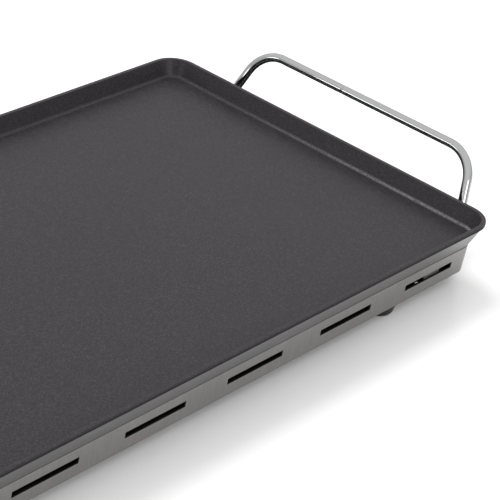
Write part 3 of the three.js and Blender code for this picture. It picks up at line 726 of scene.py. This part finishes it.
def housing_band():
    """The slotted band, folded in at its foot: an outer and an inner skin joined at every edge."""
    made = bmesh.new()
    columns, slots = band_columns(), wall_slots()
    low, high = FRAME_LOW.z, FRAME_HIGH.z
    heights = {low, high}
    heights.update(low + FOOT_ROLL * share for share in (0.12, 0.4, 1))
    for _, _, _, tall, z in slots:
        heights.update((z - tall / 2, z + tall / 2))
    heights = sorted(heights)
    count, rows = len(columns), len(heights) - 1

    def wall_inset(z):
        below_roll = min(1, max(0, 1 - (z - low) / FOOT_ROLL))
        return DRAFT * (high - z) / (high - low) + FOOT_ROLL * (1 - math.sqrt(1 - below_roll ** 2))

    def skin(depth):
        return [[made.verts.new((*(point - normal * (depth + wall_inset(z))).xy, z))
                 for point, normal, _, _ in columns] for z in heights]

    def is_open(column, row):
        if row in (-1, rows):
            return True
        _, _, wall, start = columns[column]
        _, _, next_wall, end = columns[(column + 1) % count]
        middle, height = (start + end) / 2, (heights[row] + heights[row + 1]) / 2
        sign = -1 if wall in ("rear", "left") else 1
        return next_wall == wall and any(
            name == wall and abs(middle - sign * centre) < length / 2 and abs(height - z) < tall / 2
            for name, centre, length, tall, z in slots)

    # The inner skin and the slot edges take the second look, the painted shade.
    def quad(*corners, inside=False):
        made.faces.new(corners).material_index = int(inside)

    outer, inner = skin(0), skin(SHEET)
    for column in range(count):
        after = (column + 1) % count
        for row in range(rows):
            if is_open(column, row):
                continue
            above = row + 1
            quad(outer[row][column], outer[row][after], outer[above][after], outer[above][column])
            quad(inner[row][column], inner[above][column], inner[above][after], inner[row][after],
                 inside=True)
            for bare, (r0, c0), (r1, c1) in (
                (is_open(column, row - 1), (row, column), (row, after)),
                (is_open(column, above), (above, after), (above, column)),
                (is_open((column - 1) % count, row), (above, column), (row, column)),
                (is_open(after, row), (row, after), (above, after)),
            ):
                if bare:
                    on_brim = r0 == r1 and r0 in (0, rows)
                    quad(outer[r1][c1], outer[r0][c0], inner[r0][c0], inner[r1][c1], inside=not on_brim)
    return made


def add_housing():
    band = add_piece("housing_band", housing_band(), ["housing", "inside"], "griddle", "housing_frame",
                     weighted=False)
    edges = band.modifiers.new("eased_edges", "BEVEL")
    edges.width = 0.25 * MM
    edges.segments = 2
    edges.limit_method = "ANGLE"
    edges.angle_limit = math.radians(40)
    band.modifiers.new("flat_face_normals", "WEIGHTED_NORMAL").keep_sharp = True
    inset = SHEET + DRAFT - 0.1
    under = span("bottom_cover")[1].z + 0.3
    over = under + SHEET
    lip = loft([ring(FRAME_SIZE, FRAME_RADIUS, inset + depth, z, 8)
                for depth, z in ((0, under), (FLANGE, under), (FLANGE, over), (0, over))], closed=True)
    # The flange is the housing's own metal, drawn in the painted-shade look.
    add_piece("housing_foot_flange", lip, "inside", "griddle", slot="housing")


add_housing()

# -------- handles
HANDLE_ROD, HANDLE_BAR_X, HANDLE_BAR_Z, HANDLE_CORNER_Y = 2.8, 263.7, 52.9, 84.1
HANDLE_END_Z, HANDLE_END_X, HANDLE_LEAN, HANDLE_SPLAY = 18, 212, 0.515, 0.303
HANDLE_TOP_BEND, HANDLE_LOW_BEND = 22, 9
HANDLE_CLEARANCE = 0.2  # between the rod and each nut or collar round it
HANDLE_SEAM_Y = 17  # where the bent rod's two halves are butted and polished


def handle_path(side):
    drop = HANDLE_BAR_Z - HANDLE_END_Z
    knee_x = HANDLE_BAR_X - HANDLE_LEAN * drop
    end_y = HANDLE_CORNER_Y + HANDLE_SPLAY * drop
    return mirrored_path([((side * HANDLE_END_X, -end_y, HANDLE_END_Z), 0),
                          ((side * knee_x, -end_y, HANDLE_END_Z), HANDLE_LOW_BEND),
                          ((side * HANDLE_BAR_X, -HANDLE_CORNER_Y, HANDLE_BAR_Z), HANDLE_TOP_BEND)], 24)


def hex_nut(radius, bore, length):
    """A nut along +Z with both faces chamfered and its bore open."""
    sixth = math.pi / 6
    flat, chamfer = radius * math.cos(sixth), math.tan(sixth)
    mouth = flat + 0.15
    ends = []
    for face, inward in ((0, 1), (length, -1)):
        rows = ([], [], [])
        for angle in around(48):
            reach = flat / math.cos((angle + sixth) % (2 * sixth) - sixth)
            shoulder = face + inward * max(0.02, (reach - mouth) * chamfer)
            for row, size, z in zip(rows, (bore, min(reach, mouth), reach), (face, face, shoulder)):
                row.append(polar(size, angle, z))
        ends.append(rows)
    first, last = ends
    return loft([*first, *reversed(last)], closed=True)


def add_handles():
    bore = HANDLE_ROD + HANDLE_CLEARANCE
    for name, side in (("right", 1), ("left", -1)):
        seam = Vector((side * HANDLE_BAR_X, side * HANDLE_SEAM_Y, HANDLE_BAR_Z))
        rod = tube(handle_path(side), HANDLE_ROD, 40, seam)
        add_piece(f"handle_rod_{name}", rod, "chrome", "griddle", f"handle_{name}")
        for end in ENDS:
            collar_name, nut_name = f"handle_collar_{name}_{end}", f"handle_nut_{name}_{end}"
            low, high = span(collar_name)
            middle = (low + high) / 2
            outer, depth = (high.y - low.y) / 2, high.x - low.x
            line = profile((bore, 0, 0), (outer, 0, 0), (outer, depth * 0.4, 0.5),
                           (bore + 1.1, depth, 0.7), (bore, depth, 0.25), (bore, 0.1, 0))
            collar = turned(line, 48, closed=True)
            moved(collar, x=low.x if side > 0 else high.x, y=middle.y, z=middle.z, turn=(90 * side, "Y"))
            add_piece(f"handle_ferrule_{name}_{end}", collar, "chrome", "griddle", collar_name)
            low, high = span(nut_name)
            nut = hex_nut((high.z - low.z) / 2, bore, high.x - low.x)
            moved(nut, x=low.x, y=middle.y, z=middle.z, turn=(90, "Y"))
            add_piece(f"hex_nut_{name}_{end}", nut, "screw", "griddle", nut_name)


add_handles()

# -------- turned pieces and screws
def solid_of_turn(radius, length, ease):
    """A rod along +Z with rounded edges at both ends."""
    return turned(profile((0, 0, 0), (radius, 0, ease), (radius, length, ease), (0, length, 0)), 40)


def drill(radius, length, x, y=0, z=SOCKET_Z):
    """A plain rod along +X from x, to cut a round hole with."""
    return moved(solid_of_turn(radius, length, 0), x=x, y=y, z=z, turn=(90, "Y"))


def hollow(radius, bore, length, ease, sides=40):
    """A tube along +Z with eased edges."""
    line = profile((bore, 0, 0), (radius, 0, ease), (radius, length, ease), (bore, length, ease / 2),
                   (bore, 0.05, 0))
    return turned(line, sides, closed=True)


def turn_node(node_name, axis, body, look, bore=0, ease=0.3):
    """A finer rod or tube in a CAD node's place, along X or Z."""
    low, high = span(node_name)
    middle = (low + high) / 2
    radius = (high.y - low.y) / 2
    length = high["xyz".index(axis)] - low["xyz".index(axis)]
    made = hollow(radius, bore, length, ease) if bore else solid_of_turn(radius, length, ease)
    if axis == "x":
        moved(made, x=low.x, y=middle.y, z=middle.z, turn=(90, "Y"))
    else:
        moved(made, x=middle.x, y=middle.y, z=low.z)
    add_piece(f"{node_name}_fine", made, look, body, node_name)


def cross_screw(head_radius, head_depth, shank_radius, tip):
    """A pan-head screw along +Z with its head below zero: cross recess, rolled thread, blunt tip."""
    recess, ease, pitch, root, thread_start = head_depth * 0.6, 0.4, 0.75, shank_radius - 0.28, 0.6
    cross = cross_shape(head_radius * 0.56, head_radius * 0.13)
    made = moved(sheet([circle(head_radius - ease), cross], recess, ease), z=-head_depth)
    line = [(0, recess - head_depth), (head_radius, recess - head_depth), (head_radius, 0),
            (shank_radius, 0), (shank_radius, thread_start)]
    for i in range(int((tip - thread_start - 1) / pitch)):
        start = thread_start + i * pitch
        line += [(root, start + pitch * 0.5), (shank_radius, start + pitch)]
    line += [(root, tip), (0, tip)]
    return merged(made, turned([Vector(point) for point in line], 32))


def add_screws():
    kinds = [(f"cover_screw_{corner}", 1.6, 1.4, "griddle") for corner in CORNERS]
    kinds += [(f"foot_screw_{corner}", 2.2, 1.7, "griddle") for corner in CORNERS]
    kinds += [(f"clamp_screw_{i}", 1.8, 1.5, "griddle") for i in (1, 2, 3, 4)]
    kinds += [(f"control_screw_{end}", 1.6, 1.4, "control") for end in ENDS]
    for node_name, head_depth, shank_radius, body in kinds:
        low, high = span(node_name)
        middle = (low + high) / 2
        screw = cross_screw((high.x - low.x) / 2, head_depth, shank_radius, high.z - low.z - head_depth)
        moved(screw, x=middle.x, y=middle.y, z=low.z + head_depth)
        add_piece(f"cross_{node_name}", screw, "screw", body, node_name)


PROBE_BORE, PIN_BORE = 3.3, 2.3
add_screws()
for corner in CORNERS:
    turn_node(f"support_post_{corner}", "z", "griddle", "galvanised", bore=2.2)
for end in ENDS:
    turn_node(f"terminal_pin_{end}", "x", "griddle", "screw", ease=0.9)
    turn_node(f"terminal_bead_{end}", "x", "griddle", "ceramic", bore=PIN_BORE, ease=0.6)
    turn_node(f"contact_sleeve_{end}", "x", "control", "brass", bore=PIN_BORE, ease=0.25)
turn_node("probe", "x", "control", "screw", ease=1.6)
turn_node("dial_shaft", "x", "dial", "screw", ease=0.4)

# -------- feet
def add_feet():
    """Flared pads, each with its screw's hole down from the top and a recess for the head below."""
    hole, recess, recess_top = 2.4, 4.5, 5.1
    for corner in CORNERS:
        node_name = f"foot_{corner}"
        middle, top = middle_of(node_name), span(node_name)[1].z
        line = profile((recess, recess_top, 0), (recess, 0, 0.5), (9.4, 0, 1.6), (10.3, 4.0, 2),
                       (11.6, top, 0.8), (hole, top, 0.2), (hole, recess_top, 0.2),
                       (recess - 0.1, recess_top, 0))
        pad = moved(turned(line, 56, closed=True), x=middle.x, y=middle.y)
        add_piece(f"foot_pad_{corner}", pad, "rubber", "griddle", node_name)


add_feet()

# -------- underside and heater
VENT_COLUMNS, COVER_VENT_PITCH, COVER_VENT_Y, COVER_VENT_LENGTH, COVER_VENT_WIDTH = 5, 60, 60, 40, 5


def add_cover():
    """The bottom cover: a pressed sheet with round-ended vents and its screw holes."""
    low, high = span("bottom_cover")
    ease = 0.2
    size = (high.x - low.x, high.y - low.y)
    edge = [point.xy for point in ring(size, 6.5, ease, 0, 8)]
    holes = []
    for corner in CORNERS:
        for screw, radius in ((f"foot_screw_{corner}", 2.2), (f"cover_screw_{corner}", 1.7)):
            middle = middle_of(screw)
            holes.append(circle(radius, middle.x, middle.y, 20))
    for i in range(VENT_COLUMNS):
        x = (i - (VENT_COLUMNS - 1) / 2) * COVER_VENT_PITCH
        for y in (-COVER_VENT_Y, COVER_VENT_Y):
            holes.append(long_hole(COVER_VENT_LENGTH, COVER_VENT_WIDTH, x, y))
    cover = moved(sheet([edge, *holes], high.z - low.z, ease), z=low.z)
    add_piece("vented_cover", cover, "painted", "griddle", "bottom_cover")


TAB_X, TAB_Y, TAB_LENGTH, TAB_TOP = 189, 118.9, 13.5, 16.5
STUD_X, STUD_TOP = 174.4, 15.6


def add_cover_tabs():
    """Behind each long wall's outermost slots: an insulating tab on the cover, and a stud beside it."""
    foot = span("bottom_cover")[1].z - 0.2
    for corner, (sx, sy) in SIGNS.items():
        x, y = sx * TAB_X, sy * TAB_Y
        tab = brick((x - TAB_LENGTH / 2, y - 0.5, foot), (x + TAB_LENGTH / 2, y + 0.5, TAB_TOP), 0.3)
        stud = moved(solid_of_turn(1.5, STUD_TOP - foot, 0.5), x=sx * STUD_X, y=y, z=foot)
        add_piece(f"cover_tab_{corner}", tab, "board", "griddle", slot="ceramic")
        add_piece(f"cover_stud_{corner}", stud, "screw", "griddle")


def add_reflector():
    low, high = span("heat_reflector")
    size, gauge, lip = (high.x - low.x, high.y - low.y), 0.8, 5.5
    line = profile((lip, high.z - gauge, 0), (gauge, high.z - gauge, 0.5), (gauge, low.z, 0),
                   (0, low.z, 0.15), (0, high.z, 1.2), (lip, high.z, 0))
    pan = loft([ring(size, 6, point.x, point.y, 6) for point in line])
    add_piece("pressed_reflector", pan, "galvanised", "griddle", "heat_reflector")


def add_clamps():
    for i in (1, 2, 3, 4):
        node_name = f"element_clamp_{i}"
        low, high = span(node_name)
        middle, ease = (low + high) / 2, 0.2
        size = (high.x - low.x, high.y - low.y)
        edge = [point.xy + middle.xy for point in ring(size, 4, ease, 0, 6)]
        strip = sheet([edge, circle(2, middle.x, middle.y, 20)], high.z - low.z, ease)
        add_piece(f"pressed_clamp_{i}", moved(strip, z=low.z), "galvanised", "griddle", node_name)


ELEMENT_RADIUS, ELEMENT_Z, ELEMENT_BEND, PIN_Y = 3.5, UNDERSIDE_Z - 3.8, 13, 15


def element_path():
    """The heater's route from one terminal to the other."""
    half = [((-194, -PIN_Y, SOCKET_Z), 0), ((-184, -PIN_Y, SOCKET_Z), 5),
            ((-174, -1.7 * PIN_Y, ELEMENT_Z), 7)]
    for x, y in ((-184, -90), (186, -90), (186, -32), (-108, -32)):
        half.append(((x, y, ELEMENT_Z), ELEMENT_BEND))
    return mirrored_path(half, 10)


def add_element():
    heater = tube(element_path(), ELEMENT_RADIUS, 28)
    add_piece("bent_heater", heater, "sheath", "griddle", "heating_element")


def add_plate_bosses():
    """What hangs under the plate: the probe's block, and tapped bosses for the clamps and feet."""
    start, end, half_y, reach = -199, -136, 6.2, UNDERSIDE_Z + 1
    block = brick((start, -half_y, SOCKET_Z - 5.2), (end, half_y, reach), 0.8)
    parts = [carved(block, drill(PROBE_BORE, 60.5, start - 1))]
    screws = [(f"foot_screw_{corner}", 5, 2, 22) for corner in CORNERS]
    screws += [(f"clamp_screw_{i}", 4, 1.9, 20.7) for i in (1, 2, 3, 4)]
    for screw, radius, thread, bottom in screws:
        middle = middle_of(screw)
        boss = hollow(radius, thread, reach - bottom, 0.4, 32)
        parts.append(moved(boss, x=middle.x, y=middle.y, z=bottom))
    add_piece("plate_bosses", merged(*parts), "casting", "griddle", slot="coating")


def add_socket():
    low, high = span("socket_block")
    half_y, half_z = SOCKET_LENGTH / 2, SOCKET_HEIGHT / 2
    parts = [brick((low.x - 2, -half_y, SOCKET_Z - half_z), (high.x - 3, half_y, SOCKET_Z + half_z), 1.0)]
    for y, radius in ((-PIN_Y, PIN_BORE), (0, PROBE_BORE), (PIN_Y, PIN_BORE)):
        parts.append(drill(radius, 14, high.x - 8, y))
    add_piece("moulded_socket", carved(brick(low, high, 0.8), *parts), "phenolic", "griddle", "socket_block")


add_cover()
add_cover_tabs()
add_reflector()
add_clamps()
add_element()
add_plate_bosses()
add_socket()

# -------- plug-in control
DIAL_Z, SHAFT_BORE, SPLIT_GAP, CONTROL_WALL, CONTROL_CORNER = 20.5, 3.3, 0.15, 1.8, 3.9
CONTROL_SCREW_X, CONTROL_SCREW_Y, GLAND_X, LAMP_X, LAMP_Y = -247.6, 27, -239.6, -245, 21


def control_cutters():
    """What passes through the control's walls: nose, dial shaft, gland, and the two screws' wells."""
    low, high = span("control_lower_shell")
    cutters = [
        brick((high.x - 3, -24.7, SOCKET_Z - 4.95), (high.x + 1, 24.7, SOCKET_Z + 4.95), 0.5),
        drill(SHAFT_BORE, 4, low.x - 1, z=DIAL_Z),
        moved(solid_of_turn(4.3, 4, 0), x=GLAND_X, y=high.y - 3, z=DIAL_Z, turn=(-90, "X")),
    ]
    for y in (-CONTROL_SCREW_Y, CONTROL_SCREW_Y):
        cutters.append(moved(solid_of_turn(3.1, 3.4, 0), x=CONTROL_SCREW_X, y=y, z=low.z - 1))
    return cutters


def add_shells():
    low, high = span("control_lower_shell")
    top = span("control_upper_shell")[1].z
    size, middle_x, bottom = (high.x - low.x, high.y - low.y), (low.x + high.x) / 2, low.z
    wall, inner = CONTROL_WALL, CONTROL_CORNER - 0.3
    below_split, above_split = DIAL_Z - SPLIT_GAP, DIAL_Z + SPLIT_GAP
    lower = profile((inner, bottom + wall, 0), (wall, bottom + wall, 1), (wall, below_split, 0),
                    (0, below_split, 0.3), (0, bottom, 2.4), (inner, bottom, 0))
    upper = profile((inner, top - wall, 0), (wall, top - wall, 1), (wall, above_split, 0),
                    (0, above_split, 0.3), (0, top, 2.8), (inner, top, 0))
    lens_hole = moved(solid_of_turn(3.3, 6, 0), x=LAMP_X, y=LAMP_Y, z=top - 4)
    for name, line, more, foot, head in (("lower", lower, [], bottom + 2.6, below_split),
                                         ("upper", upper, [lens_hole], above_split, top - 1)):
        rings = [ring(size, CONTROL_CORNER, point.x, point.y, 8) for point in line]
        shell = carved(moved(loft(rings), x=middle_x), *control_cutters(), *more)
        for y in (-CONTROL_SCREW_Y, CONTROL_SCREW_Y):
            boss = moved(hollow(3.4, 1.7, head - foot, 0.2), x=CONTROL_SCREW_X, y=y, z=foot)
            shell = merged(shell, boss)
        add_piece(f"control_case_{name}", shell, "plastic", "control", f"control_{name}_shell")


def add_nose():
    low, high = span("connector_nose")
    holes = [drill(PROBE_BORE, 40, low.x - 2)]
    for y in (-PIN_Y, PIN_Y):
        holes.append(drill(3.5, 20, high.x - 17.5, y))
    nose = carved(brick(low, high, 0.9), *holes)
    add_piece("moulded_nose", nose, "phenolic", "control", "connector_nose")


def add_switch():
    """The thermostat: a ceramic body with two grooves down its outer face."""
    low, high = span("thermostat_switch")
    grooves = [brick((low.x - 1, y - 0.6, low.z - 1), (low.x + 0.8, y + 0.6, high.z + 1), 0.1)
               for y in (-5, 5)]
    switch = carved(brick(low, high, 0.7), *grooves)
    add_piece("ceramic_switch", switch, "ceramic", "control", "thermostat_switch")


def add_gland():
    """The cord's rubber gland: a neck in the case, then a wide and a narrow collar round its bore."""
    low, high = span("cord_gland")
    bore, neck, collar, waist = 3, 4, 5.6, 4.7
    length, start = high.y - low.y, high.y - low.y - 4
    line = profile((bore, 0, 0), (neck, 0, 0.4), (neck, start, 0), (collar, start, 0.3),
                   (collar, start + 1.5, 0.5), (waist, start + 1.9, 0.2), (waist, start + 2.4, 0.2),
                   (5.3, start + 2.7, 0.3), (5, length, 0.7), (bore, length, 0.5), (bore, 0.1, 0))
    gland = moved(turned(line, 48, closed=True), x=GLAND_X, y=low.y, z=DIAL_Z, turn=(-90, "X"))
    add_piece("ribbed_gland", gland, "rubber", "control", "cord_gland")


def add_lens():
    low, high = span("pilot_lens")
    middle, radius, shoulder = (low + high) / 2, (high.x - low.x) / 2, high.z - 1.2
    line = [Vector((0, low.z)), Vector((radius, low.z)), Vector((radius, shoulder))]
    steps = 10
    for i in range(1, steps + 1):
        angle = i / steps * math.pi / 2
        line.append(Vector((radius * math.cos(angle), shoulder + (high.z - shoulder) * math.sin(angle))))
    line[-1].x = 0
    lens = moved(turned(line, 40), x=middle.x, y=middle.y)
    add_piece("domed_lens", lens, "lens", "control", "pilot_lens")


DIAL_FLUTES, FLUTE_DEPTH, GRIP_RADIUS, SKIRT_RADIUS, SKIRT_DEPTH = 18, 0.75, 12.3, 16, 3
DIAL_STEPS, DIAL_SWEEP = 5, 270  # numbered settings after zero, and the whole turn in degrees
DIGIT_SIZE, DIGIT_REACH, INK_DEPTH = 2.5, 13.75, 0.06


def face_left(mesh_data, x):
    """A shape built along +Z, turned to face -X on the dial's axis with its own +X pointing up."""
    return moved(mesh_data, x=x, z=DIAL_Z, turn=(-90, "Y"))


def add_dial():
    low, high = span("dial")
    depth = high.x - low.x - 0.6
    skirt_line = profile((SHAFT_BORE, 0, 0), (SKIRT_RADIUS, 0, 0.3), (SKIRT_RADIUS, SKIRT_DEPTH - 1, 0.4),
                         (SKIRT_RADIUS - 1, SKIRT_DEPTH, 0.5), (GRIP_RADIUS - 2, SKIRT_DEPTH, 0),
                         (SHAFT_BORE, SKIRT_DEPTH, 0))
    rows = []
    for point in profile((0, 1, 0), (0, depth, 1.2), (4, depth, 0.6), (5.5, depth - 0.5, 0.4),
                         (9.5, depth - 0.5, 0)):
        flute = FLUTE_DEPTH * max(0, 1 - point.x / 2.5)
        row = []
        for angle in around(10 * DIAL_FLUTES):
            scallop = (0.5 + 0.5 * math.cos(DIAL_FLUTES * angle)) ** 2
            row.append(polar(GRIP_RADIUS - point.x - flute * scallop, angle, point.y))
        rows.append(row)
    pointer = brick((2.2, -0.9, depth - 1), (GRIP_RADIUS - 1.4, 0.9, high.x - low.x), 0.35)
    knob = merged(turned(skirt_line, 72, closed=True), loft(rows), pointer)
    add_piece("fluted_dial", face_left(knob, high.x), "plastic", "dial", "dial")


def add_dial_marks():
    """Numbers 0 to 5 round the skirt, a tick beside each half step, and the index on the case."""
    high = span("dial")[1]
    face = SKIRT_DEPTH + 0.02
    marks = []
    for i in range(DIAL_STEPS + 1):
        angle = math.radians(DIAL_SWEEP * i / DIAL_STEPS)
        digit = lettered(str(i), DIGIT_SIZE, INK_DEPTH)
        moved(digit, turn=(math.degrees(angle) - 90, "Z"))
        marks.append(moved(digit, *polar(DIGIT_REACH, angle, face)))
    for i in range(DIAL_STEPS):
        half_step = DIAL_SWEEP * (i + 0.5) / DIAL_STEPS
        tick = brick((13.1, -0.15, 0), (14.5, 0.15, INK_DEPTH), 0.02)
        marks.append(moved(tick, z=face, turn=(half_step, "Z")))
    add_piece("dial_numbers", face_left(merged(*marks), high.x), "ink", "dial", slot="plastic")
    low, high = span("control_upper_shell")
    bar = brick((low.x + 3.2, -0.45, high.z + 0.01), (low.x + 8, 0.45, high.z + 0.01 + INK_DEPTH), 0.02)
    add_piece("index_mark", bar, "ink", "control", slot="plastic")


add_shells()
add_nose()
add_switch()
add_gland()
add_lens()
add_dial()
add_dial_marks()

# -------- carried-over CAD nodes
def dress_cad_nodes():
    slots = {entry["node"]: entry["material_slot"] for entry in frame["record"]["subparts"]}
    for name, piece in frame["nodes"].items():
        piece.data.materials.clear()
        piece.data.materials.append(LOOK[slots[name]])


dress_cad_nodes()
